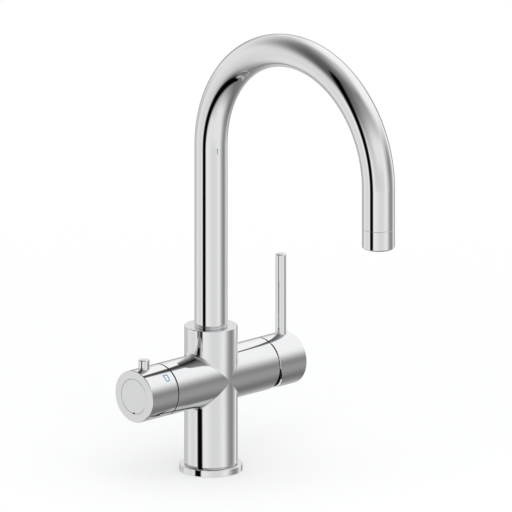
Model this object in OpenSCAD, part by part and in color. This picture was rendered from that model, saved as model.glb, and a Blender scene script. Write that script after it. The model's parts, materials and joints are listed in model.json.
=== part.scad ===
// Filter kitchen mixer tap, standing on its worktop face at z = 0.
// +Z is up and the spout reaches towards -Y. The mixer lever is on +X, the filter knob on -X.

/* [Column] */
// Diameter of the upright column
body_d = 45; // [44:0.5:50]
// Height of the column's flat top above the worktop
body_h = 126.1; // [126:0.1:140]
// Chamfer on turned edges of column, arms and handles
edge = 0.4; // [0.2:0.1:0.6]

/* [Base] */
// Diameter of the base ring
base_d = 53.2; // [52:0.1:58]
// Height of the base ring
base_h = 5.6; // [4:0.1:8]
// Height of the neck that shows between ring and column
reveal_h = 0.6; // [0.4:0.1:2]
// How far that neck is set in from the column's side
reveal_inset = 0.9; // [0.4:0.1:1.4]
// Width of the base ring from its outer edge to the spigot that it sits on
base_land = 6.6; // [6.4:0.1:7]
// Radial width of the sealing gasket under the ring
gasket_w = 2.6; // [1.6:0.1:3]
// Thickness of that gasket
gasket_h = 1.8; // [1:0.1:2.4]

/* [Arms] */
// Diameter of both arms and both handles
arm_d = 45; // [44:0.5:47]
// Height of the arms' axis above the worktop
arm_z = 80.8; // [74:0.1:82]
// Distance from the column's axis to the end face of an arm
arm_reach = 60.1; // [60:0.1:66]
// Gap between an arm and the handle that turns on it
seam_gap = 0.8; // [0.5:0.1:1.2]
// Length of the collar on the filter arm's end that closes the seam from inside the knob
collar_out = 1; // [0.9:0.1:1.1]
// Room round that collar inside the knob
collar_room = 0.5; // [0.4:0.1:0.8]
// Length of the lever cap and of the filter knob along the arm
handle_l = 31.1; // [31:0.1:35]

/* [Spout] */
// Outer diameter of the spout tube
tube_d = 28; // [27.6:0.1:29]
// Wall of the spout tube
tube_wall = 1.2; // [0.8:0.1:1.3]
// Centreline radius of the arch
arch_r = 100.2; // [85:0.2:115]
// Height above the worktop at which the arch springs
spring_z = 283.7; // [270:0.1:320]
// Height of the outlet's lower edge above the worktop
outlet_z = 231.6; // [225:0.1:236]

/* [Spout seat] */
// Height of the ring that the spout glides on
glide_h = 1; // [0.8:0.1:1.5]
// Height of the insert's flange under the tube
flange_h = 1; // [0.8:0.1:1.5]
// Diameter of the insert where it turns in the column
plug_d = 25.9; // [25.5:0.1:26.5]
// Depth of the insert in the column
plug_l = 25.4; // [24:0.1:26]
// Diameter of the water way through the insert
plug_bore_d = 17; // [14:0.5:18]
// Length of the insert's spigot inside the tube
collar_l = 12; // [8:0.5:16]
// Cord diameter of the insert's two seals
seal_cord = 2.4; // [1.8:0.1:2.6]
// Swivel to each side before the stop, in degrees
swivel = 150; // [120:5:160]
// Radius of the retaining screw's dog point
dog_r = 1.9; // [1.5:0.1:2.1]
// Thread diameter of the retaining screw
dog_screw_d = 6; // [5:1:6]
// Depth of the retaining screw's axis under the insert's flange
dog_depth = 9; // [8:0.5:10]

/* [Filtered water line] */
// Outer diameter of the inner tube that carries filtered water
hose_d = 8; // [7.6:0.1:8.4]
// Wall of the inner tube
hose_wall = 1; // [0.8:0.1:1.1]
// Length of the nipple inside the inner tube
nipple_l = 12; // [10:0.5:14]
// Diameter of the nipple's flange on the socket floor
nipple_flange_d = 10; // [9:0.5:10]

/* [Outlet] */
// Height of the outlet sleeve
sleeve_l = 17.4; // [16.4:0.1:20]
// Wall of the outlet sleeve beside the aerator
sleeve_wall = 1.6; // [1.4:0.1:1.8]
// Chamfer around the outlet's lower edge
sleeve_chamfer = 1.2; // [0.6:0.1:1.4]
// Height of the lip that carries the aerator
lip_h = 1.4; // [1:0.1:1.8]
// Width of that lip
lip_w = 0.9; // [0.6:0.1:1.2]
// Height of the aerator insert
aerator_h = 6.4; // [5.6:0.1:7]
// Number of vanes in the aerator's ring
vanes = 24; // [16:1:30]
// Diameter of the filtered water nozzle
nozzle_d = 7; // [6.4:0.1:7.2]

/* [Mixer cartridge] */
// Diameter of the cartridge housing
cart_d = 35; // [34:0.1:35.4]
// Length of the cartridge from its seat to its shoulder
cart_l = 28; // [27.6:0.1:29]
// Thread diameter of the ring nut that holds it
nut_d = 38; // [37.6:0.1:38.4]
// Depth of the nut's thread in the arm
nut_l = 8; // [7:0.1:9]
// How far that nut stands out of the arm, inside the seam
nut_proud = 0.5; // [0.3:0.1:0.5]
// Wall of the cartridge housing
cart_wall = 2; // [1.6:0.1:2.2]
// Thickness of the cartridge's base
cart_base_t = 4; // [3.6:0.1:4.4]
// Thickness of each ceramic disc
disc_t = 3; // [2.6:0.1:3.2]
// Diameter of the neck that the lever turns
neck_d = 22; // [21:0.1:23]
// Square of the stem that the lever cap is held on
stem_w = 8; // [7.4:0.1:8.2]
// Length of the stem beyond the pin that it tilts on
stem_l = 19.1; // [18.5:0.1:20]
// Diameter of the pin that the stem tilts on
pin_d = 3; // [2.6:0.1:3.4]
// Diameter of the stem's ball end
ball_d = 5.8; // [5:0.1:6]
// Tilt of the lever from closed to full flow, in degrees
tilt = 18; // [12:1:19]
// Turn of the lever to each side between cold and hot, in degrees
mix_turn = 45; // [30:5:60]

/* [Lever] */
// Wall of the lever cap and of the filter knob
cap_wall = 2; // [1.6:0.1:2.4]
// Slope of the cut that lets the cap's lower rim swing in, in degrees
rim_slope = 20.5; // [20.5:0.5:23]
// Distance from the cap's rim to the lever rod's axis
rod_u = 22.5; // [21.5:0.1:23.5]
// Diameter of the lever rod
rod_d = 9.2; // [8:0.1:10]
// Height of the rod's top above the arm's axis
rod_top = 92; // [70:1:120]
// Chamfer at the top of rod and peg
rod_edge = 0.7; // [0.4:0.1:1]
// Thread diameter of the lever's grub screw
grub_d = 5; // [4:0.5:5]

/* [Filter valve] */
// Thread diameter of the ceramic valve
valve_d = 20.9; // [20.5:0.1:21.3]
// Length of the valve under its flange
valve_l = 23; // [22.6:0.1:23.4]
// Depth of the recess for the valve's flange and hexagon
valve_recess = 11; // [10.4:0.1:11.6]
// Hexagon of the valve across its flats
valve_af = 17; // [16:0.5:18]
// Diameter of the spindle
spindle_d = 8; // [7.4:0.1:8.2]
// Turn of the filter knob from closed to open, in degrees
filter_turn = 90; // [80:1:100]
// Number of splines on the spindle's end
splines = 20; // [16:2:24]

/* [Filter knob] */
// Distance from the knob's rim to the finger peg's axis
peg_u = 19.1; // [18.5:0.1:20.5]
// Diameter of the finger peg
peg_d = 9.3; // [8:0.1:10]
// Height of the peg's top above the arm's axis
peg_top = 30.2; // [28:0.1:33]
// Diameter of the cover in the knob's end face
cover_d = 30; // [28:0.2:32]
// Thickness of that cover
cover_t = 1.8; // [1.4:0.1:2.2]
// Width of the notch for prying the cover out
notch_w = 2.3; // [1.6:0.1:3]
// Depth of that notch in from the cover's edge
notch_h = 1.1; // [0.8:0.1:1.4]

/* [Inlets] */
// Wall left between an inlet's hole and the spigot's side
port_wall = 2; // [1.7:0.1:2.4]
// Diameter of an inlet's tapped hole
inlet_d = 9; // [8.4:0.1:9.4]
// Depth of an inlet's tapped hole
inlet_l = 12; // [10:0.5:16]
// Diameter of a stud's tapped hole
stud_d = 6.8; // [6:0.1:7.2]
// Depth of a stud's tapped hole
stud_l = 18; // [14:0.5:24]
// Diameter of the water ways inside the column
way_d = 6.6; // [6:0.1:7]

/* [Fits] */
// Radial clearance of a piece that turns or slides in another
run_fit = 0.05; // [0.03:0.01:0.08]
// Clearance of a piece that is assembled once and stays
slip_fit = 0.1; // [0.05:0.01:0.15]
// End clearance between pieces that move past each other
end_gap = 0.3; // [0.2:0.05:0.4]

/* [Hidden] */
$fn = 96;

// How far a cutting solid runs past the face that it opens
over = 1;
// Free angle left past each stop, in degrees
stop_play = 1.5;
// Room between a swinging edge and its neighbour
swing_room = 0.4;
// Chamfer on turned inner pieces
inner_edge = 0.4;
// Chamfer on both sides of a visible seam
seam_edge = 0.25;

column_r = body_d / 2;
column_z0 = base_h + reveal_h;
spigot_d = base_d - 2 * base_land;
spigot_r = spigot_d / 2;
gasket_inset = 1.2;
arm_r = arm_d / 2;
rim_u = arm_reach + seam_gap;
handle_end = rim_u + handle_l;

tube_r = tube_d / 2;
tube_bore_r = tube_r - tube_wall;
flange_z = body_h + glide_h + slip_fit;
tube_z0 = flange_z + flange_h;
plug_r = plug_d / 2;
plug_edge = 0.6;
plug_z0 = flange_z - plug_l;
socket_r = plug_r + run_fit;
socket_room = 4.5;
socket_z0 = plug_z0 - socket_room;
seal_land = 0.4;
seal_pitch = 2 * seal_cord + seal_land;
seal_z0 = plug_z0 + 0.75 * seal_pitch;
dog_z = flange_z - dog_depth;
dog_sunk = 1.2;
stop_depth = 2.2;
stop_floor_r = plug_r - stop_depth;
stop_half = swivel + asin(dog_r / stop_floor_r) + stop_play;

hose_r = hose_d / 2;
hose_bore_r = hose_r - hose_wall;
hose_proud = 0.8;
hose_z0 = plug_z0 - hose_proud;
nipple_wall = 1.1;
nipple_r = hose_bore_r - run_fit;
nipple_bore_r = nipple_r - nipple_wall;
nipple_flange_h = hose_z0 - socket_z0 - end_gap;
nipple_cord = 0.7;

sleeve_top = outlet_z + sleeve_l;
sleeve_bore_r = tube_r - sleeve_wall;
adapter_wall = 2;
adapter_r = sleeve_bore_r - slip_fit;
adapter_bore_r = adapter_r - adapter_wall;
aerator_z0 = outlet_z + lip_h;
aerator_r = sleeve_bore_r - slip_fit;
screen_z0 = aerator_z0 + aerator_h;
screen_t = 0.5;
outlet_seal_z0 = screen_z0 + screen_t;
outlet_seal_h = 1.4;
outlet_seal_w = 2.2;
adapter_z0 = outlet_seal_z0 + outlet_seal_h;
nozzle_r = nozzle_d / 2;
nozzle_flange_w = 1.5;
nozzle_flange_r = nozzle_r + nozzle_flange_w;
nozzle_flange_z = outlet_seal_z0 + slip_fit;
nozzle_flange_h = 1.4;
hose_z1 = nozzle_flange_z + nozzle_flange_h + slip_fit;

cart_r = cart_d / 2;
cart_top = arm_reach - nut_l;
cart_seat = cart_top - cart_l;
cart_floor = cart_seat + cart_base_t;
cart_cavity_r = cart_r - cart_wall;
moving_disc_z = cart_floor + disc_t + run_fit;
carrier_z = moving_disc_z + disc_t;
carrier_t = 4;
shoulder_t = 2.7;
rotor_z0 = carrier_z + carrier_t + end_gap;
rotor_z1 = cart_top - shoulder_t - end_gap;
neck_r = neck_d / 2;
neck_out = 5;
ball_r = ball_d / 2;
ball_depth = 4.1;
ball_z = cart_top - ball_depth;
ball_arm = rim_u - ball_z;
disc_travel = ball_arm * sin(tilt);
disc_shift = -disc_travel / 2;
moving_disc_r = cart_cavity_r - disc_travel / 2 - end_gap - swing_room;
post_w = 8;
post_half = 6;
post_lip = 1.1;
post_top = ball_z + post_lip;
port_lip = 0.3;
cart_port_r = way_d / 2 - port_lip;
port_seal_w = 1.4;
port_seal_t = 1.5;
locating_r = 1.5;
locating_h = 2.5;
locating_inset = 3.6;
locating_angle = 69;
carrier_lug_r = 1.5;
carrier_lug_h = 1;
carrier_lug_inset = 4.3;
lug_r = 1.5;
lug_centre_r = (neck_r + cart_cavity_r) / 2;
lug_skin = 0.6;
lug_roof = cart_top - lug_skin;

port_circle_r = spigot_r - port_wall - inlet_d / 2;
port_step = 72;
mix_way_x = port_circle_r * cos(port_step / 2);
mix_way_y = port_circle_r * sin(port_step / 2);
mix_port_x = -4.5;
out_port_x = 9;
out_way_x = 8.5;
out_way_r = 3;
filter_out_x = 12.3;
filter_out_r = 2;

stem_end = rim_u + stem_l;
boss_r = 8;
boss_l = 9;
boss_z = stem_end - boss_l;
boss_skin = 1;
grub_depth = 4.1;
grub_u = stem_end - grub_depth;
end_wall = 3;
stud_step = 1.6;
rod_r = rod_d / 2;
rod_seat = 15;
rod_stud_r = rod_r - stud_step;
rod_stud_x = 9.5;
rod_boss_wall = 2.4;

valve_flange_z = arm_reach - valve_recess;
valve_seat = valve_flange_z - valve_l;
valve_r = valve_d / 2;
valve_thread_l = 11;
barrel_step = 1.15;
barrel_r = valve_r - barrel_step;
barrel_wall = 1.6;
valve_disc_r = barrel_r - barrel_wall - slip_fit;
seat_seal_t = 2;
valve_disc_z = valve_seat + seat_seal_t + slip_fit;
valve_disc_t = 2.6;
valve_way_r = 2;
valve_way_x = 4.3;
driver_z = valve_disc_z + 2 * valve_disc_t + run_fit;
driver_t = 3;
valve_ledge = driver_z + driver_t + end_gap;
valve_flange_w = 1.6;
valve_flange_r = valve_r + valve_flange_w;
valve_flange_t = 2.5;
hexagon_h = 6;
valve_top = valve_flange_z + valve_flange_t + hexagon_h;
valve_cord = 1.6;
flange_seal_depth = 1.2;
flange_seal_z = valve_flange_z - flange_seal_depth;
window_r = 2.4;
chamber_r = 14.5;
chamber_step = 1;
chamber_z0 = valve_disc_z + chamber_step;
chamber_lip = 2;
chamber_z1 = valve_flange_z - valve_thread_l - chamber_lip;
spindle_r = spindle_d / 2;
spindle_seal_depth = 4;
spindle_seal_z = valve_flange_z - spindle_seal_depth;
spindle_cord = 1.6;
stop_tab_w = 2.4;
stop_tab_h = 2;
circlip_t = 1;
circlip_bite = 0.6;
circlip_w = 2;
circlip_z = valve_top + end_gap;
tooth_h = 0.5;
spline_step = 1;
spline_l = 12;
spline_z0 = rim_u - spline_step;
spline_z1 = spline_z0 + spline_l;
hub_r = 8;
hub_inset = 0.6;
hub_z0 = rim_u + hub_inset;
web_t = 4;
web_z1 = spline_z1 + slip_fit + web_t;
knob_screw_r = 2;
knob_screw_l = 9;
face_wall = 3.5;
cover_r = cover_d / 2;
cover_gap = 0.2;
clip_step = 2;
clip_outer_r = cover_r - clip_step;
clip_t = 1.2;
peg_r = peg_d / 2;
peg_sunk = 1.1;
peg_seat = arm_r - peg_sunk;
peg_stud_r = peg_r - stud_step;
peg_stud_l = 6;
peg_stud_x = peg_seat - peg_stud_l;
peg_boss_wall = 1.6;

// Local frames of the two arms: z runs outward along the arm, x points up
module mixer_side() {
    translate([0, 0, arm_z]) rotate([0, 90, 0]) rotate([0, 0, 180]) children();
}

module filter_side() {
    translate([0, 0, arm_z]) rotate([0, -90, 0]) children();
}

// Turned bar with chamfers at its lower and upper ends
module bar(r, h, low = 0, high = 0) {
    start = low > 0 ? [[r - low, 0], [r, low]] : [[r, 0]];
    end = high > 0 ? [[r, h - high], [r - high, h]] : [[r, h]];
    rotate_extrude() polygon(concat([[0, 0]], start, end, [[0, h]]));
}

module ring(r_out, r_in, h) {
    difference() {
        cylinder(r = r_out, h = h);
        translate([0, 0, -over]) cylinder(r = r_in, h = h + 2 * over);
    }
}

// Seal around a shaft, level with z = 0: it ends a hair inside the bore that it runs in
module o_ring(bore_r, cord) {
    rotate_extrude() translate([bore_r - cord / 2, 0]) circle(d = cord - run_fit);
}

// Groove in the shaft for that seal
module seal_groove(bore_r, cord) {
    h = cord + 2 * slip_fit;
    translate([0, 0, -h / 2]) ring(bore_r + over, bore_r - cord, h);
}

module hexagon(flats, h) {
    cylinder(d = flats / cos(30), h = h, $fn = 6);
}

// Splined shaft: flat-sided teeth between the tip and root radii
function spline_points(tip, root, count) = [
    for (i = [0:2 * count - 1])
        let(r = i % 2 == 0 ? tip : root, angle = i * 180 / count)
        r * [cos(angle), sin(angle)]
];

module spline(tip, root, h) {
    linear_extrude(h) polygon(spline_points(tip, root, splines));
}

// Way along an arm from a distance off the column's axis, at a height off the arm's axis
module arm_way(x, y, r, from, to) {
    translate([x, y, from]) cylinder(r = r, h = to - from);
}

// Hot and cold inlets in front and behind, filtered inlet on the knob's side, studs between
module inlet(angle, top, r) {
    rotate([0, 0, angle]) translate([port_circle_r, 0, 0]) {
        translate([0, 0, -over]) cylinder(d = inlet_d, h = inlet_l + over);
        translate([0, 0, inlet_l - over]) cylinder(r = r, h = top - inlet_l + over);
    }
}

module water_ways() {
    way_r = way_d / 2;
    out_z = arm_z + out_port_x;
    filter_out_z = arm_z + filter_out_x;
    for (side = [-1, 1]) {
        inlet(side * port_step / 2, arm_z + mix_port_x + way_r, way_r);
        mixer_side() arm_way(mix_port_x, side * mix_way_y, cart_port_r, mix_way_x, cart_seat + over);
    }
    inlet(180, arm_z + way_r, way_r);
    filter_side() arm_way(0, 0, way_r, port_circle_r, valve_seat + over);
    mixer_side() arm_way(out_port_x, 0, out_way_r, out_way_x - out_way_r, cart_seat + over);
    translate([out_way_x, 0, out_z]) cylinder(r = out_way_r, h = socket_z0 + over - out_z);
    filter_side() arm_way(filter_out_x, 0, filter_out_r, -filter_out_r, chamber_z0 + over);
    translate([0, 0, filter_out_z]) cylinder(r = filter_out_r, h = socket_z0 + over - filter_out_z);
}

module stud_holes() {
    for (side = [-1, 1]) rotate([0, 0, side * 1.5 * port_step]) translate([port_circle_r, 0, -over])
        cylinder(d = stud_d, h = stud_l + over);
}

module cartridge_socket() {
    mixer_side() {
        translate([0, 0, cart_seat]) cylinder(r = cart_r + slip_fit, h = cart_l + over);
        translate([0, 0, cart_top]) cylinder(r = nut_d / 2 + slip_fit, h = nut_l + over);
        locating_pegs(slip_fit);
    }
}

module valve_socket() {
    filter_side() {
        translate([0, 0, valve_seat]) cylinder(r = barrel_r + slip_fit, h = valve_l);
        translate([0, 0, chamber_z0]) cylinder(r = chamber_r, h = chamber_z1 - chamber_z0);
        translate([0, 0, chamber_z1 - over])
            cylinder(r = valve_r + slip_fit, h = valve_flange_z - chamber_z1 + 2 * over);
        translate([0, 0, valve_flange_z])
            cylinder(r = valve_flange_r + 1, h = valve_recess + collar_out + over);
    }
}

// Frame of the retaining screw in the column's back, z outward
module at_dog_screw() {
    translate([0, 0, dog_z]) rotate([-90, 0, 0]) children();
}

module mixer_body() {
    color("silver") difference() {
        union() {
            translate([0, 0, column_z0]) bar(column_r, body_h - column_z0, edge, edge);
            translate([0, 0, base_h]) cylinder(r = column_r - reveal_inset, h = reveal_h + over);
            cylinder(r = spigot_r, h = base_h + over);
            translate([0, 0, arm_z]) rotate([0, 90, 0]) translate([0, 0, -arm_reach])
                bar(arm_r, 2 * arm_reach, edge, edge);
            filter_side() translate([0, 0, arm_reach - over])
                cylinder(r = arm_r - cap_wall - collar_room, h = collar_out + over);
        }
        translate([0, 0, socket_z0]) cylinder(r = socket_r, h = body_h - socket_z0 + over);
        cartridge_socket();
        valve_socket();
        water_ways();
        stud_holes();
        at_dog_screw() cylinder(d = dog_screw_d + 2 * slip_fit, h = column_r + over);
    }
}

// Ring that the column's neck stands on, with a groove for its gasket
module base_ring() {
    groove_r = base_d / 2 - gasket_inset;
    color("silver") difference() {
        bar(base_d / 2, base_h, 0, edge);
        translate([0, 0, -over]) cylinder(r = spigot_r + slip_fit, h = base_h + 2 * over);
        translate([0, 0, -over]) ring(groove_r, groove_r - gasket_w, gasket_h + over);
    }
}

module base_gasket() {
    outer = base_d / 2 - gasket_inset - slip_fit;
    color("dimgray") ring(outer, outer - gasket_w + 2 * slip_fit, gasket_h - slip_fit);
}

// Ring under the spout, eased at the seam where the spout turns on it
module glide_ring() {
    color("silver") translate([0, 0, body_h]) difference() {
        bar(tube_r, glide_h, 0, seam_edge);
        translate([0, 0, -over]) cylinder(r = plug_r + slip_fit, h = glide_h + 2 * over);
    }
}

module retaining_screw() {
    thread_l = column_r - dog_sunk - socket_r - end_gap;
    key_l = 3.8;
    color("dimgray") at_dog_screw() difference() {
        union() {
            translate([0, 0, stop_floor_r + end_gap]) cylinder(r = dog_r, h = socket_r - stop_floor_r + over);
            translate([0, 0, socket_r + end_gap]) bar(dog_screw_d / 2, thread_l, inner_edge, inner_edge);
        }
        translate([0, 0, column_r - dog_sunk - key_l]) hexagon(dog_screw_d / 2, key_l + over);
    }
}

module filtered_nipple() {
    color("goldenrod") translate([0, 0, socket_z0]) difference() {
        union() {
            cylinder(d = nipple_flange_d, h = nipple_flange_h);
            bar(nipple_r, nipple_flange_h + nipple_l, 0, inner_edge);
        }
        translate([0, 0, -over]) cylinder(r = nipple_bore_r, h = nipple_flange_h + nipple_l + 2 * over);
        translate([0, 0, nipple_flange_h + nipple_l / 2]) seal_groove(hose_bore_r, nipple_cord);
    }
}

module nipple_seal() {
    color("black") translate([0, 0, socket_z0 + nipple_flange_h + nipple_l / 2])
        o_ring(hose_bore_r, nipple_cord);
}

// Back leg, half-circle arch and front leg of a pipe along the spout's centreline
module spout_path(r, back_z, front_z) {
    translate([0, 0, back_z]) cylinder(r = r, h = spring_z - back_z);
    translate([0, -arch_r, spring_z]) rotate([0, 90, 0]) rotate([0, 0, 90])
        rotate_extrude(angle = 180) translate([arch_r, 0]) circle(r = r);
    translate([0, -2 * arch_r, front_z]) cylinder(r = r, h = spring_z - front_z);
}

module at_outlet(z) {
    translate([0, -2 * arch_r, z]) children();
}

module spout_tube() {
    color("gainsboro") difference() {
        spout_path(tube_r, tube_z0, sleeve_top + slip_fit);
        spout_path(tube_bore_r, tube_z0 - over, sleeve_top - over);
    }
}

module spout_insert() {
    color("goldenrod") difference() {
        union() {
            translate([0, 0, plug_z0]) bar(plug_r, plug_l + flange_h, plug_edge, 0);
            translate([0, 0, flange_z]) bar(tube_r, flange_h, seam_edge, 0);
            translate([0, 0, tube_z0]) bar(tube_bore_r - run_fit, collar_l, 0, inner_edge);
        }
        translate([0, 0, plug_z0 - over])
            cylinder(d = plug_bore_d, h = plug_l + flange_h + collar_l + 2 * over);
        at_seals() seal_groove(socket_r, seal_cord);
        stop_groove();
    }
}

// Places of the two seals around the insert
module at_seals() {
    for (i = [0, 1]) translate([0, 0, seal_z0 + i * seal_pitch]) children();
}

// Arc around the insert that the dog point runs in, open to the back at rest
module stop_groove() {
    half_h = dog_r + end_gap;
    translate([0, 0, dog_z - half_h]) rotate([0, 0, 90 - stop_half])
        rotate_extrude(angle = 2 * stop_half) translate([stop_floor_r, 0])
            square([plug_r + over - stop_floor_r, 2 * half_h]);
}

module spout_seals() {
    color("black") at_seals() o_ring(socket_r, seal_cord);
}

module filtered_tube() {
    color("whitesmoke") difference() {
        spout_path(hose_r, hose_z0, hose_z1);
        spout_path(hose_bore_r, hose_z0 - over, hose_z1 - over);
    }
}

module outlet_adapter() {
    spigot_h = 8;
    base_l = sleeve_top - adapter_z0;
    color("goldenrod") at_outlet(adapter_z0) difference() {
        union() {
            bar(adapter_r, base_l + over, inner_edge, 0);
            translate([0, 0, base_l + slip_fit]) bar(tube_bore_r - run_fit, spigot_h, 0, inner_edge);
        }
        translate([0, 0, -over]) cylinder(r = adapter_bore_r, h = base_l + spigot_h + 3 * over);
    }
}

module outlet_sleeve() {
    color("gainsboro") at_outlet(outlet_z) difference() {
        bar(tube_r, sleeve_l, sleeve_chamfer, seam_edge);
        translate([0, 0, lip_h]) cylinder(r = sleeve_bore_r, h = sleeve_l);
        translate([0, 0, -over]) cylinder(r = sleeve_bore_r - lip_w, h = sleeve_l);
    }
}

module aerator_seal() {
    color("black") at_outlet(outlet_seal_z0) ring(aerator_r, aerator_r - outlet_seal_w, outlet_seal_h);
}

// Plastic insert with a ring of vanes around the hub that the nozzle stands in
module aerator_insert() {
    rim_w = 1.2;
    hub_w = 1;
    bore_r = nozzle_r + slip_fit;
    vane_t = 0.5;
    vane_h = aerator_h - 1;
    vane_r0 = bore_r + hub_w / 2;
    vane_r1 = aerator_r - rim_w / 2;
    middle_r = (vane_r0 + vane_r1) / 2;
    color("lightgray") at_outlet(aerator_z0) {
        ring(aerator_r, aerator_r - rim_w, aerator_h);
        ring(bore_r + hub_w, bore_r, aerator_h);
        ring(middle_r + vane_t / 2, middle_r - vane_t / 2, vane_h);
        for (i = [0:vanes - 1]) rotate([0, 0, i * 360 / vanes]) translate([vane_r0, -vane_t / 2, 0])
            cube([vane_r1 - vane_r0, vane_t, vane_h]);
    }
}

module aerator_screen() {
    hole_r = 0.9;
    hole_pitch = 2.4;
    margin = 1.6;
    inner = nozzle_flange_r + margin;
    rows = [[inner, 16], [inner + hole_pitch, 22]];
    color("gray") at_outlet(screen_z0) difference() {
        ring(aerator_r, nozzle_r + slip_fit, screen_t);
        for (row = rows) for (i = [0:row[1] - 1])
            rotate([0, 0, i * 360 / row[1]]) translate([row[0], 0, -over])
                cylinder(r = hole_r, h = screen_t + 2 * over);
    }
}

module filtered_nozzle() {
    tip_inset = 0.6;
    spigot_h = 7;
    shank_l = nozzle_flange_z - outlet_z - tip_inset;
    color("lightgray") at_outlet(outlet_z + tip_inset) difference() {
        union() {
            bar(nozzle_r, shank_l + over, inner_edge, 0);
            translate([0, 0, shank_l]) cylinder(r = nozzle_flange_r, h = nozzle_flange_h);
            translate([0, 0, shank_l]) bar(nipple_r, nozzle_flange_h + spigot_h, 0, inner_edge);
        }
        translate([0, 0, -over])
            cylinder(r = nipple_bore_r, h = shank_l + nozzle_flange_h + spigot_h + 2 * over);
    }
}

// The cartridge's three ports: hot and cold side by side, mixed water above
module cartridge_ports(r, z, h) {
    for (side = [-1, 1]) translate([mix_port_x, side * mix_way_y, z]) cylinder(r = r, h = h);
    translate([out_port_x, 0, z]) cylinder(r = r, h = h);
}

// Two pegs under the base that keep the cartridge from turning in its seat
module locating_pegs(gap) {
    for (side = [-1, 1]) rotate([0, 0, side * locating_angle])
        translate([cart_r - locating_inset, 0, cart_seat - locating_h - gap])
            cylinder(r = locating_r + gap, h = locating_h + gap + over);
}

module cartridge_base() {
    recess = port_seal_t + slip_fit;
    color("darkslategray") mixer_side() difference() {
        union() {
            translate([0, 0, cart_seat]) cylinder(r = cart_r, h = cart_base_t);
            locating_pegs(0);
        }
        cartridge_ports(cart_port_r, cart_seat - over, cart_base_t + 2 * over);
        cartridge_ports(cart_port_r + port_seal_w, cart_seat - over, recess + over);
    }
}

module cartridge_seals() {
    color("black") mixer_side() difference() {
        cartridge_ports(cart_port_r + port_seal_w - slip_fit, cart_seat, port_seal_t);
        cartridge_ports(cart_port_r, cart_seat - over, port_seal_t + 2 * over);
    }
}

module mixer_fixed_disc() {
    color("ivory") mixer_side() difference() {
        translate([0, 0, cart_floor]) cylinder(r = cart_cavity_r - swing_room, h = disc_t);
        cartridge_ports(cart_port_r, cart_floor - over, disc_t + 2 * over);
    }
}

// Upper disc with the pocket that joins the ports, carried off centre while the tap is closed
module mixer_moving_disc() {
    pocket_wall = 4;
    lug_hole_l = carrier_lug_h + 2 * slip_fit;
    color("ivory") mixer_side() translate([disc_shift, 0, moving_disc_z]) difference() {
        cylinder(r = moving_disc_r, h = disc_t);
        translate([0, 0, -over]) cylinder(r = moving_disc_r - pocket_wall, h = disc_t / 2 + over);
        carrier_lugs(disc_t - lug_hole_l, lug_hole_l + over, carrier_lug_r + slip_fit);
    }
}

module carrier_lugs(z, h, r) {
    for (side = [-1, 1]) translate([0, side * (moving_disc_r - carrier_lug_inset), z]) cylinder(r = r, h = h);
}

module disc_carrier() {
    color("seashell") mixer_side() {
        translate([disc_shift, 0, 0]) {
            translate([0, 0, carrier_z]) cylinder(r = moving_disc_r, h = carrier_t);
            carrier_lugs(carrier_z - carrier_lug_h, carrier_lug_h + over, carrier_lug_r);
        }
        difference() {
            translate([-post_half, -post_w / 2, carrier_z])
                cube([2 * post_half, post_w, post_top - carrier_z]);
            translate([0, 0, ball_z - ball_r - over]) cylinder(r = ball_r + slip_fit, h = ball_r + 4 * over);
        }
    }
}

// Turning part of the cartridge: the carrier's post slides in its wide slot, the stem tilts in its neck
module cartridge_rotor() {
    half_w = post_w / 2 + slip_fit;
    slot_low = stem_w / 2 / cos(tilt) + neck_out * tan(tilt) + swing_room;
    slot_high = disc_travel + ball_r + swing_room;
    post_room = post_half + end_gap;
    color("darkslategray") mixer_side() difference() {
        union() {
            translate([0, 0, rotor_z0]) cylinder(r = cart_cavity_r - run_fit, h = rotor_z1 - rotor_z0);
            translate([0, 0, rotor_z0]) bar(neck_r, rim_u + neck_out - rotor_z0, 0, inner_edge);
        }
        translate([-post_room, -half_w, rotor_z0 - over])
            cube([2 * post_room + disc_travel, 2 * half_w, post_top + end_gap - rotor_z0 + over]);
        translate([-slot_low, -half_w, rotor_z0 - over])
            cube([slot_low + slot_high, 2 * half_w, rim_u + neck_out - rotor_z0 + 2 * over]);
        at_pivot() cylinder(d = pin_d + slip_fit / 2, h = neck_d + 2 * over, center = true);
    }
    color("darkslategray") mixer_side() translate([-lug_centre_r, 0, rotor_z1 - over])
        cylinder(r = lug_r, h = lug_roof - end_gap - rotor_z1 + over);
}

// Arc in the housing's shoulder that the rotor's lug runs in: its ends stop the turn
module lug_track() {
    half = mix_turn + asin(lug_r / lug_centre_r) + stop_play;
    side = lug_r + end_gap;
    from = cart_top - shoulder_t - over;
    translate([0, 0, from]) rotate([0, 0, 180 - half]) rotate_extrude(angle = 2 * half)
        translate([lug_centre_r - side, 0]) square([2 * side, lug_roof - from]);
}

// Frame of the tilt pin, z along the pin
module at_pivot() {
    translate([0, 0, rim_u]) rotate([90, 0, 0]) children();
}

module pivot_pin() {
    inset = 1;
    pin_edge = 0.3;
    color("lightsteelblue") mixer_side() at_pivot() translate([0, 0, inset - neck_r])
        bar(pin_d / 2, neck_d - 2 * inset, pin_edge, pin_edge);
}

module lever_stem() {
    knuckle_r = stem_w / 2 + swing_room;
    ball_neck = 0.7;
    color("lightsteelblue") mixer_side() difference() {
        union() {
            translate([-stem_w / 2, -stem_w / 2, rim_u]) cube([stem_w, stem_w, stem_end - rim_u]);
            at_pivot() cylinder(r = knuckle_r, h = stem_w, center = true);
            translate([0, 0, ball_z]) cylinder(r = ball_r - ball_neck, h = ball_arm);
            translate([0, 0, ball_z]) sphere(r = ball_r);
        }
        at_pivot() cylinder(r = pin_d / 2 + run_fit, h = stem_w + 2 * over, center = true);
    }
}

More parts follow.
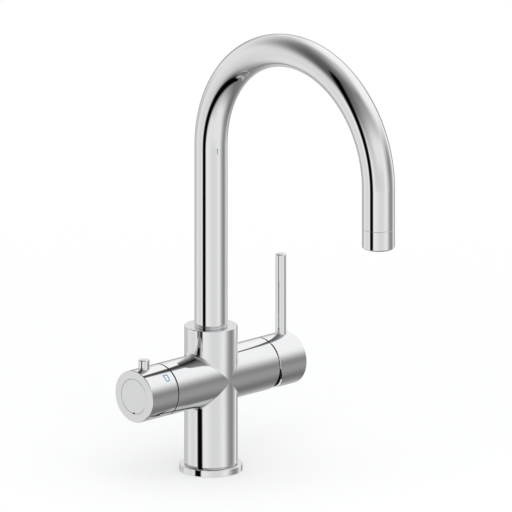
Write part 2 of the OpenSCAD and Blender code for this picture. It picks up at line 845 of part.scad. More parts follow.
module cartridge_housing() {
    color("darkslategray") mixer_side() difference() {
        translate([0, 0, cart_floor]) bar(cart_r, cart_top - cart_floor, 0, inner_edge);
        translate([0, 0, cart_floor - over])
            cylinder(r = cart_cavity_r, h = cart_top - shoulder_t - cart_floor + over);
        translate([0, 0, cart_floor]) cylinder(r = neck_r + run_fit, h = cart_l);
        lug_track();
    }
}

module cartridge_nut() {
    notch = 3;
    rim_w = 2.4;
    bore_gap = 1.5;
    nut_r = nut_d / 2;
    h = nut_l + nut_proud - slip_fit;
    color("goldenrod") mixer_side() translate([0, 0, cart_top + slip_fit]) difference() {
        bar(nut_r, h, inner_edge, inner_edge);
        translate([0, 0, -over]) cylinder(r = neck_r + bore_gap, h = h + 2 * over);
        for (i = [0:5]) rotate([0, 0, i * 60]) translate([neck_r, -notch / 2, h - notch])
            cube([nut_r - neck_r - rim_w, notch, notch + over]);
    }
}

// Blind pocket with a tapped hole under it, for a rod that stands up through a handle's wall
module rod_socket(r, seat, stud_r, stud_x, u) {
    translate([0, 0, u]) rotate([0, 90, 0]) {
        translate([0, 0, seat]) cylinder(r = r + run_fit, h = arm_r + over - seat);
        translate([0, 0, stud_x - slip_fit]) cylinder(r = stud_r + run_fit, h = seat - stud_x + over);
    }
}

module standing_rod(r, seat, stud_r, stud_x, top, u) {
    translate([0, 0, u]) rotate([0, 90, 0]) {
        translate([0, 0, seat]) bar(r, top - seat, 0, rod_edge);
        translate([0, 0, stud_x]) cylinder(r = stud_r, h = seat - stud_x + over);
    }
}

// Closed cylinder that both handles are turned from, open towards the arm
module handle_shell(wall, end_t) {
    difference() {
        translate([0, 0, rim_u]) bar(arm_r, handle_l, edge, edge);
        translate([0, 0, rim_u - over]) cylinder(r = arm_r - wall, h = handle_l - end_t + over);
    }
}

// Bosses inside the cap for the stem, the rod and the grub screw
module cap_bosses() {
    translate([0, 0, boss_z]) cylinder(r = boss_r, h = handle_l);
    translate([0, 0, rim_u + rod_u]) rotate([0, 90, 0]) cylinder(r = rod_r + rod_boss_wall, h = arm_r);
    translate([0, 0, grub_u]) rotate([0, -90, 0]) cylinder(r = grub_d, h = arm_r);
}

module lever_cap() {
    stem_hole_w = stem_w + 2 * slip_fit;
    color("silver") mixer_side() difference() {
        union() {
            handle_shell(cap_wall, end_wall);
            intersection() {
                translate([0, 0, boss_z])
                    cylinder(r = arm_r - boss_skin, h = handle_end - boss_z - boss_skin);
                cap_bosses();
            }
        }
        translate([-stem_hole_w / 2, -stem_hole_w / 2, boss_z - over])
            cube([stem_hole_w, stem_hole_w, boss_l + over + slip_fit]);
        rod_socket(rod_r, rod_seat, rod_stud_r, rod_stud_x, rim_u + rod_u);
        translate([0, 0, grub_u]) rotate([0, -90, 0]) cylinder(d = grub_d + 2 * slip_fit, h = arm_r + over);
        translate([0, 0, rim_u]) rotate([0, rim_slope, 0]) translate([-2 * arm_r, -arm_d, -2 * arm_r])
            cube([2 * arm_r, 2 * arm_d, 2 * arm_r]);
    }
}

module lever_rod() {
    color("silver") mixer_side()
        standing_rod(rod_r, rod_seat, rod_stud_r, rod_stud_x, rod_top, rim_u + rod_u);
}

module lever_grub_screw() {
    screw_l = 6;
    key_l = 3;
    color("dimgray") mixer_side() translate([-stem_w / 2 - slip_fit, 0, grub_u]) rotate([0, -90, 0])
        difference() {
            bar(grub_d / 2, screw_l, inner_edge, inner_edge);
            translate([0, 0, screw_l - key_l]) hexagon(grub_d / 2, key_l + over);
        }
}

module lever_plug() {
    plug_h = 4;
    sunk = 0.3;
    color("gray") mixer_side() translate([-arm_r + sunk, 0, grub_u]) rotate([0, 90, 0])
        bar(grub_d / 2, plug_h, inner_edge, inner_edge);
}

module valve_body() {
    color("goldenrod") filter_side() difference() {
        union() {
            translate([0, 0, valve_seat + slip_fit]) cylinder(r = barrel_r, h = valve_l);
            translate([0, 0, valve_flange_z - valve_thread_l])
                cylinder(r = valve_r, h = valve_thread_l + over);
            translate([0, 0, valve_flange_z + slip_fit]) bar(valve_flange_r, valve_flange_t, 0, inner_edge);
            translate([0, 0, valve_flange_z]) hexagon(valve_af, valve_top - valve_flange_z);
        }
        difference() {
            translate([0, 0, valve_seat - over])
                cylinder(r = valve_disc_r + slip_fit, h = valve_ledge - valve_seat + over);
            translate([-valve_disc_r - over, -stop_tab_w / 2, driver_z])
                cube([stop_tab_h + over, stop_tab_w, driver_t + over]);
        }
        translate([0, 0, valve_seat]) cylinder(r = spindle_r + run_fit, h = valve_top);
        translate([0, 0, driver_z]) rotate([90, 0, 0]) cylinder(r = window_r, h = 2 * valve_r, center = true);
        translate([0, 0, flange_seal_z]) seal_groove(valve_r + slip_fit, valve_cord);
    }
}

module valve_flange_seal() {
    color("black") filter_side() translate([0, 0, flange_seal_z]) o_ring(valve_r + slip_fit, valve_cord);
}

module valve_seat_seal() {
    color("black") filter_side() translate([0, 0, valve_seat]) ring(valve_disc_r, way_d / 2, seat_seal_t);
}

// Ways through both discs: they meet when the knob has made its turn
module disc_ways(angle, z) {
    for (side = [0, 180]) rotate([0, 0, angle + side]) translate([valve_way_x, 0, z - over])
        cylinder(r = valve_way_r, h = valve_disc_t + 2 * over);
}

module valve_fixed_disc() {
    color("ivory") filter_side() difference() {
        translate([0, 0, valve_disc_z]) cylinder(r = valve_disc_r, h = valve_disc_t);
        disc_ways(0, valve_disc_z);
    }
}

module valve_moving_disc() {
    z = valve_disc_z + valve_disc_t + run_fit;
    color("ivory") filter_side() difference() {
        translate([0, 0, z]) cylinder(r = valve_disc_r - run_fit, h = valve_disc_t);
        disc_ways(filter_turn, z);
    }
}

module valve_spindle() {
    color("goldenrod") filter_side() difference() {
        union() {
            translate([0, 0, driver_z]) cylinder(r = valve_disc_r - run_fit, h = driver_t);
            translate([0, 0, driver_z]) cylinder(r = spindle_r, h = spline_z0 - driver_z);
            translate([0, 0, spline_z0 - over]) spline(spindle_r, spindle_r - tooth_h, spline_l + over);
        }
        stop_recess();
        translate([0, 0, spindle_seal_z]) seal_groove(spindle_r + run_fit, spindle_cord);
        translate([0, 0, circlip_z - run_fit])
            ring(spindle_r + over, spindle_r - circlip_bite - slip_fit, circlip_t + 2 * run_fit);
        translate([0, 0, spline_z1 - knob_screw_l])
            cylinder(r = knob_screw_r + run_fit, h = knob_screw_l + over);
    }
}

// Part of the driver's rim that is cut away for the stop tab in the valve's barrel
module stop_recess() {
    half = asin(stop_tab_w / 2 / (valve_disc_r - stop_tab_h)) + stop_play;
    floor_r = valve_disc_r - stop_tab_h - end_gap;
    translate([0, 0, driver_z - over]) rotate([0, 0, 180 - half])
        rotate_extrude(angle = filter_turn + 2 * half) translate([floor_r, 0])
            square([valve_disc_r, driver_t + 2 * over]);
}

module spindle_seal() {
    color("black") filter_side() translate([0, 0, spindle_seal_z]) o_ring(spindle_r + run_fit, spindle_cord);
}

module spindle_circlip() {
    color("lightsteelblue") filter_side() translate([0, 0, circlip_z]) difference() {
        ring(spindle_r + circlip_w, spindle_r - circlip_bite, circlip_t);
        translate([0, -spindle_r / 2, -over]) cube([2 * spindle_r, spindle_r, circlip_t + 2 * over]);
    }
}

module filter_knob() {
    bore_r = spindle_r + slip_fit;
    color("silver") filter_side() difference() {
        union() {
            handle_shell(cap_wall, face_wall);
            translate([0, 0, hub_z0]) cylinder(r = hub_r, h = web_z1 - hub_z0);
            translate([0, 0, web_z1 - web_t]) cylinder(r = arm_r - boss_skin, h = web_t);
            intersection() {
                translate([0, 0, rim_u + peg_u]) rotate([0, 90, 0])
                    cylinder(r = peg_r + peg_boss_wall, h = arm_r);
                translate([0, 0, web_z1 - web_t])
                    ring(arm_r - boss_skin, clip_outer_r + cover_gap, handle_end - web_z1);
            }
        }
        translate([0, 0, hub_z0 - over])
            spline(bore_r, bore_r - tooth_h, spline_z1 + slip_fit - hub_z0 + over);
        translate([0, 0, hub_z0]) cylinder(r = knob_screw_r + cover_gap, h = web_z1);
        translate([0, 0, handle_end - face_wall - over])
            cylinder(r = clip_outer_r + cover_gap, h = face_wall + 2 * over);
        translate([0, 0, handle_end - cover_t]) cylinder(r = cover_r + cover_gap, h = cover_t + over);
        rod_socket(peg_r, peg_seat, peg_stud_r, peg_stud_x, rim_u + peg_u);
    }
}

module knob_peg() {
    color("silver") filter_side()
        standing_rod(peg_r, peg_seat, peg_stud_r, peg_stud_x, peg_top, rim_u + peg_u);
}

module knob_screw() {
    head_r = 3.8;
    head_h = 2.6;
    key_w = 2.5;
    key_l = 1.6;
    tip_z = spline_z1 - knob_screw_l + over;
    color("dimgray") filter_side() difference() {
        union() {
            translate([0, 0, web_z1]) bar(head_r, head_h, 0, inner_edge);
            translate([0, 0, tip_z]) cylinder(r = knob_screw_r, h = web_z1 + over - tip_z);
        }
        translate([0, 0, web_z1 + head_h - key_l]) hexagon(key_w, key_l + over);
    }
}

module knob_cover() {
    leg_l = 4;
    leg_w = 5;
    cover_edge = 0.15;
    cover_z0 = handle_end - cover_t;
    color("silver") filter_side() difference() {
        union() {
            translate([0, 0, cover_z0]) bar(cover_r, cover_t, 0, cover_edge);
            for (i = [0:2]) rotate([0, 0, 60 + i * 120]) intersection() {
                translate([0, 0, cover_z0 - leg_l])
                    ring(clip_outer_r, clip_outer_r - clip_t, leg_l + over / 2);
                translate([0, -leg_w / 2, cover_z0 - leg_l]) cube([cover_r, leg_w, leg_l + over / 2]);
            }
        }
        translate([-cover_r - over, -notch_w / 2, cover_z0 - over])
            cube([notch_h + over, notch_w, cover_t + 2 * over]);
    }
}

mixer_body();
base_ring();
base_gasket();
glide_ring();
retaining_screw();
filtered_nipple();
nipple_seal();
spout_tube();
spout_insert();
spout_seals();
filtered_tube();
outlet_adapter();
outlet_sleeve();
aerator_seal();
aerator_insert();
aerator_screen();
filtered_nozzle();
cartridge_base();
cartridge_seals();
mixer_fixed_disc();
mixer_moving_disc();
disc_carrier();
cartridge_housing();
cartridge_nut();
cartridge_rotor();
pivot_pin();
lever_stem();
lever_cap();
lever_rod();
lever_grub_screw();
lever_plug();
valve_body();
valve_seat_seal();
valve_flange_seal();
valve_fixed_disc();
valve_moving_disc();
valve_spindle();
spindle_seal();
spindle_circlip();
filter_knob();
knob_peg();
knob_screw();
knob_cover();
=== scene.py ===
import bpy
import json
import math
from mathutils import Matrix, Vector

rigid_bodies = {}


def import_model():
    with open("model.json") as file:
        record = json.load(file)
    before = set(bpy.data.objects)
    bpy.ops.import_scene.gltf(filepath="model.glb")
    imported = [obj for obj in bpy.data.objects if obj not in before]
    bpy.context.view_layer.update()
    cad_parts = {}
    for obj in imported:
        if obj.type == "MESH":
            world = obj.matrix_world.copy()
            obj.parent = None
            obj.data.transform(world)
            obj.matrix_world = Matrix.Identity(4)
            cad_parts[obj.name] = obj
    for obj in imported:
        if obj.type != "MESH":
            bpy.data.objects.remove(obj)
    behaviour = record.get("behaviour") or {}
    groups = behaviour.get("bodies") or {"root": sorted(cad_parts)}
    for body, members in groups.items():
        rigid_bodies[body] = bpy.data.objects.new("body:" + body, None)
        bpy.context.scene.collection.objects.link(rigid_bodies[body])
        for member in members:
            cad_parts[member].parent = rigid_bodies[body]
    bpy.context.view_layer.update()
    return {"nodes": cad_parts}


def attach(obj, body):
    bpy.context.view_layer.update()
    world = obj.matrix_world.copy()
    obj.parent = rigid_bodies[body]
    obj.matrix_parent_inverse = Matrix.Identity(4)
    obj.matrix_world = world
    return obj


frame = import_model()
nodes = frame["nodes"]
print("frame loaded,", len(nodes), "nodes")

# the tap's main places, in metres
tap = {
    "armZ": 0.0808,
    "armR": 0.0225,
}

# a point on each axis that pieces are turned about
centres = {
    "column": (0, 0, 0),
    "arms": (0, 0, tap["armZ"]),
    "outlet": (0, -0.2004, 0),
    "pivotPin": (0.0609, 0, tap["armZ"]),
    "dogScrew": (0, 0, 0.1182),
    "grubScrew": (0.0759, 0, 0),
}

# the span that most of a noise lies in, and its usual fineness
noise = {"span": (0.3, 0.7), "detail": 3.0}


# small helpers
def deselectAll():
    if bpy.context.object and bpy.context.object.mode != "OBJECT":
        bpy.ops.object.mode_set(mode="OBJECT")
    for other in bpy.context.scene.objects:
        other.select_set(False)
    bpy.context.view_layer.objects.active = None


def turnOutwards():
    bpy.ops.object.mode_set(mode="EDIT")
    bpy.ops.mesh.select_all(action="SELECT")
    bpy.ops.mesh.normals_make_consistent(inside=False)
    bpy.ops.object.mode_set(mode="OBJECT")


def thicken(piece, thickness, offset):
    skin = piece.modifiers.new("skin", "SOLIDIFY")
    skin.thickness = thickness
    skin.offset = offset
    bpy.ops.object.modifier_apply(modifier="skin")


def addNode(tree, kind, inputs=None, **settings):
    node = tree.nodes.new(kind)
    for name, value in settings.items():
        setattr(node, name, value)
    for key, value in (inputs or {}).items():
        if isinstance(value, bpy.types.NodeSocket):
            tree.links.new(value, node.inputs[key])
        else:
            node.inputs[key].default_value = value
    return node


def maths(tree, operation, first, second=None):
    inputs = {i: v for i, v in enumerate((first, second)) if v is not None}
    return addNode(tree, "ShaderNodeMath", inputs, operation=operation).outputs[0]


def hypotenuse(tree, first, second):
    squares = [maths(tree, "MULTIPLY", side, side) for side in (first, second)]
    return maths(tree, "SQRT", maths(tree, "ADD", *squares))


def blendFloat(tree, factor, low, high):
    node = addNode(tree, "ShaderNodeMix", {0: factor, 2: low, 3: high}, data_type="FLOAT")
    return node.outputs[0]


def blendColour(tree, factor, low, high):
    node = addNode(tree, "ShaderNodeMix", {0: factor, 6: low, 7: high}, data_type="RGBA")
    return node.outputs[2]


def mapRange(tree, value, span, result=(0.0, 1.0), kind="LINEAR"):
    inputs = {
        "Value": value,
        "From Min": span[0],
        "From Max": span[1],
        "To Min": result[0],
        "To Max": result[1],
    }
    node = addNode(tree, "ShaderNodeMapRange", inputs, interpolation_type=kind, clamp=True)
    return node.outputs["Result"]


def noiseOf(tree, place, scale, detail=noise["detail"]):
    inputs = {"Vector": place, "Scale": scale, "Detail": detail}
    return addNode(tree, "ShaderNodeTexNoise", inputs).outputs["Fac"]


# camera, at the photograph's angle
cameraPlace = {
    "azimuth": 44.913,
    "elevation": 15.062,
    "scale": 0.4327,
    "right": 0.03803,
    "up": 0.18001,
    "distance": 1.0,
}


def makeCamera():
    a = math.radians(cameraPlace["azimuth"])
    e = math.radians(cameraPlace["elevation"])
    right = Vector((math.cos(a), -math.sin(a), 0))
    up = Vector((math.sin(a) * math.sin(e), math.cos(a) * math.sin(e), math.cos(e)))
    back = Vector((-math.sin(a) * math.cos(e), -math.cos(a) * math.cos(e), math.sin(e)))
    lens = bpy.data.cameras.new("camera")
    lens.type = "ORTHO"
    lens.ortho_scale = cameraPlace["scale"]
    camera = bpy.data.objects.new("camera", lens)
    camera.location = right * cameraPlace["right"] + up * cameraPlace["up"] + back * cameraPlace["distance"]
    camera.rotation_mode = "QUATERNION"
    camera.rotation_quaternion = (-back).to_track_quat("-Z", "Y")
    bpy.context.scene.collection.objects.link(camera)
    bpy.context.scene.camera = camera


makeCamera()
bpy.context.scene.view_settings.view_transform = "Standard"
print("camera set")

# What the chrome mirrors: a soft studio all round it, told by direction. Azimuth 0 is the
# spout's side and grows towards the lever, in degrees. Levels are as a screen shows them.
studio = {
    "chromeLevel": 0.60,
    # elevation, level
    "heights": [
        (-90, 110), (-60, 140), (-40, 180), (0, 200),
        (15, 210), (40, 170), (60, 130), (90, 170),
    ],
    # azimuth, elevation, half width, half height, softness across, softness upright, level.
    # A later panel lies over an earlier one
    "panels": {
        "darkCeiling": (-105, 40, 10, 5, 85, 45, 85),
        "leftWall": (-165, -15, 15, 20, 45, 45, 220),
        "rearWall": (170, -20, 20, 10, 10, 15, 190),
        "softbox": (90, 20, 30, 30, 45, 15, 240),
        "gapRight": (50, -30, 0, 25, 45, 35, 120),
        "floorRight": (60, -70, 0, 25, 90, 20, 110),
        "gapBehind": (130, -10, 30, 5, 5, 30, 140),
        "frontGlow": (10, -10, 0, 25, 25, 15, 230),
        "frontLeft": (-60, -25, 0, 10, 30, 5, 222),
        "frontWall": (-20, 15, 0, 0, 65, 30, 225),
        "softboxTop": (90, 60, 15, 0, 90, 35, 240),
        "ceiling": (50, 90, 0, 0, 90, 40, 185),
        "frontSheet": (-15, -40, 10, 10, 80, 35, 225),
        "flagGlow": (-95, -5, 0, 0, 45, 35, 250),
        "flagFoot": (-95, -70, 0, 5, 30, 50, 35),
        "blackFlag": (-94, -40, 6, 25, 10, 60, 1),
        "blackFlagTop": (-94, 20, 4, 25, 8, 8, 1),
    },
    "roomLight": 0.97,
}

# how a screen's levels stand for light
screen = {"white": 255, "offset": 0.055, "power": 2.4}


def makeStudio():
    world = bpy.data.worlds.new("studio")
    bpy.context.scene.world = world
    world.use_nodes = True
    world.cycles.sampling_method = "NONE"
    tree = world.node_tree
    tree.nodes.clear()
    direction = addNode(tree, "ShaderNodeTexCoord").outputs["Generated"]
    part = addNode(tree, "ShaderNodeSeparateXYZ", {0: direction}).outputs
    elevation = maths(tree, "DEGREES", maths(tree, "ARCSINE", part["Z"]))
    turn = maths(tree, "ARCTAN2", part["X"], maths(tree, "MULTIPLY", part["Y"], -1.0))
    azimuth = maths(tree, "DEGREES", turn)
    ramp = addNode(tree, "ShaderNodeValToRGB", {0: mapRange(tree, elevation, (-90.0, 90.0))})
    stops = ramp.color_ramp.elements
    for count, (height, level) in enumerate(studio["heights"]):
        place = (height + 90) / 180
        stop = stops[count] if count < 2 else stops.new(place)  # a ramp starts with two
        stop.position = place
        stop.color = (*[level / screen["white"]] * 3, 1)
    level = addNode(tree, "ShaderNodeSeparateColor", {0: ramp.outputs["Color"]}).outputs[0]
    for az, el, azHalf, elHalf, azSoft, elSoft, panelLevel in studio["panels"].values():
        off = maths(tree, "SUBTRACT", azimuth, float(az))
        off = addNode(tree, "ShaderNodeMath", {0: off, 1: 180.0, 2: -180.0}, operation="WRAP").outputs[0]
        across = maths(tree, "ABSOLUTE", off)
        upright = maths(tree, "ABSOLUTE", maths(tree, "SUBTRACT", elevation, float(el)))
        inAcross = mapRange(tree, across, (azHalf + azSoft, azHalf), kind="SMOOTHSTEP")
        inUpright = mapRange(tree, upright, (elHalf + elSoft, elHalf), kind="SMOOTHSTEP")
        inPanel = maths(tree, "MULTIPLY", inAcross, inUpright)
        level = blendFloat(tree, inPanel, level, panelLevel / screen["white"])
    raised = maths(tree, "DIVIDE", maths(tree, "ADD", level, screen["offset"]), 1 + screen["offset"])
    light = maths(tree, "POWER", raised, screen["power"])
    mirrored = maths(tree, "DIVIDE", light, studio["chromeLevel"])
    ray = addNode(tree, "ShaderNodeLightPath").outputs
    white = maths(tree, "MAXIMUM", ray["Is Camera Ray"], ray["Is Transmission Ray"])
    strength = blendFloat(tree, ray["Is Glossy Ray"], studio["roomLight"], mirrored)
    strength = blendFloat(tree, white, strength, 1.0)
    background = addNode(tree, "ShaderNodeBackground", {"Color": (1, 1, 1, 1), "Strength": strength})
    tree.links.new(background.outputs[0], addNode(tree, "ShaderNodeOutputWorld").inputs[0])


makeStudio()

# a pale floor that fades to white far off. "lift" is the share of white close to the tap
floorPlan = {
    "size": 8.0,
    "level": -0.0003,
    "colour": (0.932, 0.939, 0.950),
    "speckDepth": 0.004,
    "speckScale": 60.0,
    "speckDetail": 4.0,
    "fade": (0.2, 0.9),
    "lift": 0.35,
}


def makeFloor():
    deselectAll()
    bpy.ops.mesh.primitive_plane_add(size=floorPlan["size"], location=(0, 0, floorPlan["level"]))
    floor = bpy.context.object
    floor.name = "floor"
    material = bpy.data.materials.new("paleFloor")
    material.use_nodes = True
    tree = material.node_tree
    tree.nodes.clear()
    place = addNode(tree, "ShaderNodeTexCoord").outputs["Object"]
    grain = noiseOf(tree, place, floorPlan["speckScale"], floorPlan["speckDetail"])
    darker = tuple(c - floorPlan["speckDepth"] for c in floorPlan["colour"])
    speck = mapRange(tree, grain, noise["span"])
    colour = blendColour(tree, speck, (*darker, 1), (*floorPlan["colour"], 1))
    matt = addNode(tree, "ShaderNodeBsdfDiffuse", {"Color": colour})
    white = addNode(tree, "ShaderNodeEmission", {"Color": (1, 1, 1, 1), "Strength": 1.0})
    far = addNode(tree, "ShaderNodeVectorMath", {0: place}, operation="LENGTH").outputs["Value"]
    fade = mapRange(tree, far, floorPlan["fade"], (floorPlan["lift"], 1.0), "SMOOTHSTEP")
    ray = addNode(tree, "ShaderNodeLightPath").outputs
    seen = maths(tree, "MULTIPLY", fade, ray["Is Camera Ray"])
    top = addNode(tree, "ShaderNodeMixShader", {0: seen, 1: matt.outputs[0], 2: white.outputs[0]})
    clear = addNode(tree, "ShaderNodeBsdfTransparent")
    under = addNode(tree, "ShaderNodeNewGeometry").outputs["Backfacing"]
    both = addNode(tree, "ShaderNodeMixShader", {0: under, 1: top.outputs[0], 2: clear.outputs[0]})
    tree.links.new(both.outputs[0], addNode(tree, "ShaderNodeOutputMaterial").inputs[0])
    floor.data.materials.append(material)
    floor.visible_glossy = False


makeFloor()

keyLight = {"size": 1.4, "watts": 7.0, "place": (-0.7, -1.0, 1.5), "aim": (0, -0.05, 0.1)}


def makeKeyLight():
    lamp = bpy.data.lights.new("keyLight", "AREA")
    lamp.size = keyLight["size"]
    lamp.energy = keyLight["watts"]
    lampObject = bpy.data.objects.new("keyLight", lamp)
    lampObject.location = keyLight["place"]
    aim = Vector(keyLight["aim"]) - Vector(keyLight["place"])
    lampObject.rotation_mode = "QUATERNION"
    lampObject.rotation_quaternion = aim.to_track_quat("-Z", "Y")
    lampObject.visible_glossy = False
    bpy.context.scene.collection.objects.link(lampObject)


makeKeyLight()
print("studio, floor and key light made")


def startMaterial(name):
    material = bpy.data.materials.new(name)
    material.use_nodes = True
    tree = material.node_tree
    tree.nodes.clear()
    shader = addNode(tree, "ShaderNodeBsdfPrincipled")
    tree.links.new(shader.outputs[0], addNode(tree, "ShaderNodeOutputMaterial").inputs[0])
    place = addNode(tree, "ShaderNodeTexCoord").outputs["Object"]
    return material, tree, shader, place


def addBump(tree, shader, height, strength, depth):
    bump = addNode(tree, "ShaderNodeBump", {"Height": height, "Strength": strength, "Distance": depth})
    tree.links.new(bump.outputs[0], shader.inputs["Normal"])


# plating with a faint cloud in its gloss and a faint swell in its surface
chrome = {
    "colour": (0.597, 0.600, 0.606, 1),
    "roughness": (0.015, 0.035),
    "cloudScale": 38.0,
    "swellScale": 70.0,
    "swellDetail": 2.0,
    "swell": 0.012,
    "bumpDepth": 0.001,
}


def chromeGloss(tree, place):
    return mapRange(tree, noiseOf(tree, place, chrome["cloudScale"]), noise["span"], chrome["roughness"])


def chromeSwell(tree, place):
    return noiseOf(tree, place, chrome["swellScale"], chrome["swellDetail"])


def makeChrome():
    material, tree, shader, place = startMaterial("polishedChrome")
    shader.inputs["Base Color"].default_value = chrome["colour"]
    shader.inputs["Metallic"].default_value = 1.0
    tree.links.new(chromeGloss(tree, place), shader.inputs["Roughness"])
    addBump(tree, shader, chromeSwell(tree, place), chrome["swell"], chrome["bumpDepth"])
    return material


def latheMarks(tree, place, axis, centre, pitch):
    # fine rings round a turning axis, on sides and on end faces
    shifted = addNode(tree, "ShaderNodeVectorMath", {0: place, 1: centre}, operation="SUBTRACT").outputs[0]
    part = addNode(tree, "ShaderNodeSeparateXYZ", {0: shifted}).outputs
    off = hypotenuse(tree, *[part[letter] for letter in "XYZ" if letter != axis])
    rings = addNode(tree, "ShaderNodeCombineXYZ", {0: part[axis], 1: off}).outputs[0]
    inputs = {"Vector": rings, "Scale": 1 / pitch, "Detail": noise["detail"]}
    return addNode(tree, "ShaderNodeTexNoise", inputs, noise_dimensions="2D").outputs["Fac"]


# Chrome outside. Inside, where tools cut after plating, raw brass. The seams, and the rims and
# hollows beside them, get painted shade: a near-black colour where light doesn't reach. The
# flat ends of knob and lever are satin. "marks" is 1 where lathe marks take the place of the
# chrome's swell. A zone is a cylinder round the column or the arms: axis, radius, from, to and
# finish, where a radius or place of a metre is no limit. A later zone lies over an earlier one
plated = {
    "finishes": {
        "brass": {"colour": (0.60, 0.44, 0.23, 1), "metal": 1.0, "roughness": (0.24, 0.38), "marks": 1},
        # painted shade: near black and not metal, for the seams and hollows
        "shade": {"colour": (0.012, 0.012, 0.013, 1), "metal": 0.0, "roughness": (0.72, 0.86), "marks": 1},
        "satin": {"colour": chrome["colour"], "metal": 1.0, "roughness": (0.26, 0.30), "marks": 0},
    },
    "ringPitch": 0.0005,
    "ringSpan": (0.2, 0.8),
    "ringDepth": 0.02,
    "zones": {
        "mixer_body": [
            ("column", 0.0131, -1, 1, "brass"),
            ("arm", 0.0192, 0, 0.0596, "brass"),
            ("arm", 0.0131, -0.0598, 0, "brass"),
            ("column", 1, -1, 0.0055, "brass"),
            # painted shade on the arms' end faces and on the skin just beside the seams
            ("arm", 0.0226, 0.0596, 1, "shade"),
            ("arm", 0.0226, -1, -0.0598, "shade"),
        ],
        "spout_insert": [("column", 0.0130, -1, 1, "brass")],
        "filter_knob": [
            # painted shade in the knob's recess behind the cover
            ("arm", 0.0152, -0.0918, 0, "shade"),
            ("arm", 0.0206, -0.0880, 0, "shade"),
            ("arm", 1, -1, -0.0919, "satin"),
        ],
        # painted shade on the cover's sides and its notch walls
        "knob_cover": [("arm", 1, -0.0918, 0, "shade"), ("arm", 1, -1, -0.0919, "satin")],
        # painted shade on the inner part of the cap's rim
        "lever_cap": [("arm", 0.0213, 0, 0.0890, "shade"), ("arm", 1, 0.0919, 1, "satin")],
        # painted shade where the nut stands out of the body into the seam
        "cartridge_nut": [("arm", 1, 0, 0.0560, "brass"), ("arm", 1, 0.0560, 1, "shade")],
    },
}


def makePlated(name, zones):
    material, tree, shader, place = startMaterial(name)
    x, y, z = addNode(tree, "ShaderNodeSeparateXYZ", {0: place}).outputs
    overArms = maths(tree, "SUBTRACT", z, tap["armZ"])
    offAxis = {"column": hypotenuse(tree, x, y), "arm": hypotenuse(tree, y, overArms)}
    along = {"column": z, "arm": x}
    if zones[0][0] == "arm":
        rings = latheMarks(tree, place, "X", centres["arms"], plated["ringPitch"])
    else:
        rings = latheMarks(tree, place, "Z", centres["column"], plated["ringPitch"])
    colour, metal, marks = chrome["colour"], 1.0, 0.0
    gloss = chromeGloss(tree, place)
    for axis, radius, start, stop, kind in zones:
        finish = plated["finishes"][kind]
        inside = maths(tree, "LESS_THAN", offAxis[axis], radius)
        above = maths(tree, "GREATER_THAN", along[axis], start)
        below = maths(tree, "LESS_THAN", along[axis], stop)
        inZone = maths(tree, "MULTIPLY", inside, maths(tree, "MULTIPLY", above, below))
        ringGloss = mapRange(tree, rings, plated["ringSpan"], finish["roughness"])
        # a shade zone paints shade into the colour here
        colour = blendColour(tree, inZone, colour, finish["colour"])
        metal = blendFloat(tree, inZone, metal, finish["metal"])
        gloss = blendFloat(tree, inZone, gloss, ringGloss)
        marks = blendFloat(tree, inZone, marks, finish["marks"])
    tree.links.new(colour, shader.inputs["Base Color"])
    tree.links.new(metal, shader.inputs["Metallic"])
    tree.links.new(gloss, shader.inputs["Roughness"])
    swell = maths(tree, "MULTIPLY", chromeSwell(tree, place), chrome["swell"])
    grooves = maths(tree, "MULTIPLY", rings, plated["ringDepth"])
    addBump(tree, shader, blendFloat(tree, marks, swell, grooves), 1.0, chrome["bumpDepth"])
    return material


# Bare turned metal, with painted shade in the grooves of its lathe marks, and a little stained.
# A piece's row: metal, axis, centre, the nodes that it dresses
turned = {
    "metals": {
        "brass": {"colour": (0.62, 0.45, 0.24), "roughness": (0.18, 0.34)},
        "steel": {"colour": (0.50, 0.51, 0.52), "roughness": (0.22, 0.36)},
    },
    "pitch": 0.0004,
    "paintedGrooveShade": 0.86,
    "glossSpan": (0.25, 0.75),
    "bump": 0.3,
    "bumpDepth": 0.00006,
    "stainScale": 240.0,
    "stainDetail": 4.0,
    "stainSpan": (0.35, 0.75),
    "stainShade": (1.0, 0.88),
    "pieces": {
        "brassUpright": ("brass", "Z", "column", ["filtered_nipple"]),
        "brassAcross": ("brass", "X", "arms", ["valve_body", "valve_spindle"]),
        "brassOutlet": ("brass", "Z", "outlet", ["outlet_adapter"]),
        "steelAcross": ("steel", "X", "arms", ["lever_stem", "knob_screw", "spindle_circlip"]),
        "screenSteel": ("steel", "Z", "outlet", ["aerator_screen"]),
        "dogScrewSteel": ("steel", "Y", "dogScrew", ["retaining_screw"]),
        "pivotSteel": ("steel", "Y", "pivotPin", ["pivot_pin"]),
        "grubScrewSteel": ("steel", "Z", "grubScrew", ["lever_grub_screw"]),
    },
}


def makeTurned(name, metal, axis, centre):
    material, tree, shader, place = startMaterial(name)
    look = turned["metals"][metal]
    rings = latheMarks(tree, place, axis, centres[centre], turned["pitch"])
    blot = noiseOf(tree, place, turned["stainScale"], turned["stainDetail"])
    stain = mapRange(tree, blot, turned["stainSpan"], turned["stainShade"])
    # painted shade: the colour is darker in the lathe grooves
    paintedGrooveColour = tuple(c * turned["paintedGrooveShade"] for c in look["colour"])
    toned = blendColour(tree, mapRange(tree, rings, noise["span"]), (*paintedGrooveColour, 1), (*look["colour"], 1))
    shade = addNode(tree, "ShaderNodeCombineColor", {0: stain, 1: stain, 2: stain}).outputs[0]
    stained = {0: 1.0, 6: toned, 7: shade}
    mixed = addNode(tree, "ShaderNodeMix", stained, data_type="RGBA", blend_type="MULTIPLY")
    gloss = mapRange(tree, rings, turned["glossSpan"], look["roughness"])
    tree.links.new(mixed.outputs[2], shader.inputs["Base Color"])
    tree.links.new(gloss, shader.inputs["Roughness"])
    shader.inputs["Metallic"].default_value = 1.0
    addBump(tree, shader, rings, turned["bump"], turned["bumpDepth"])
    return material


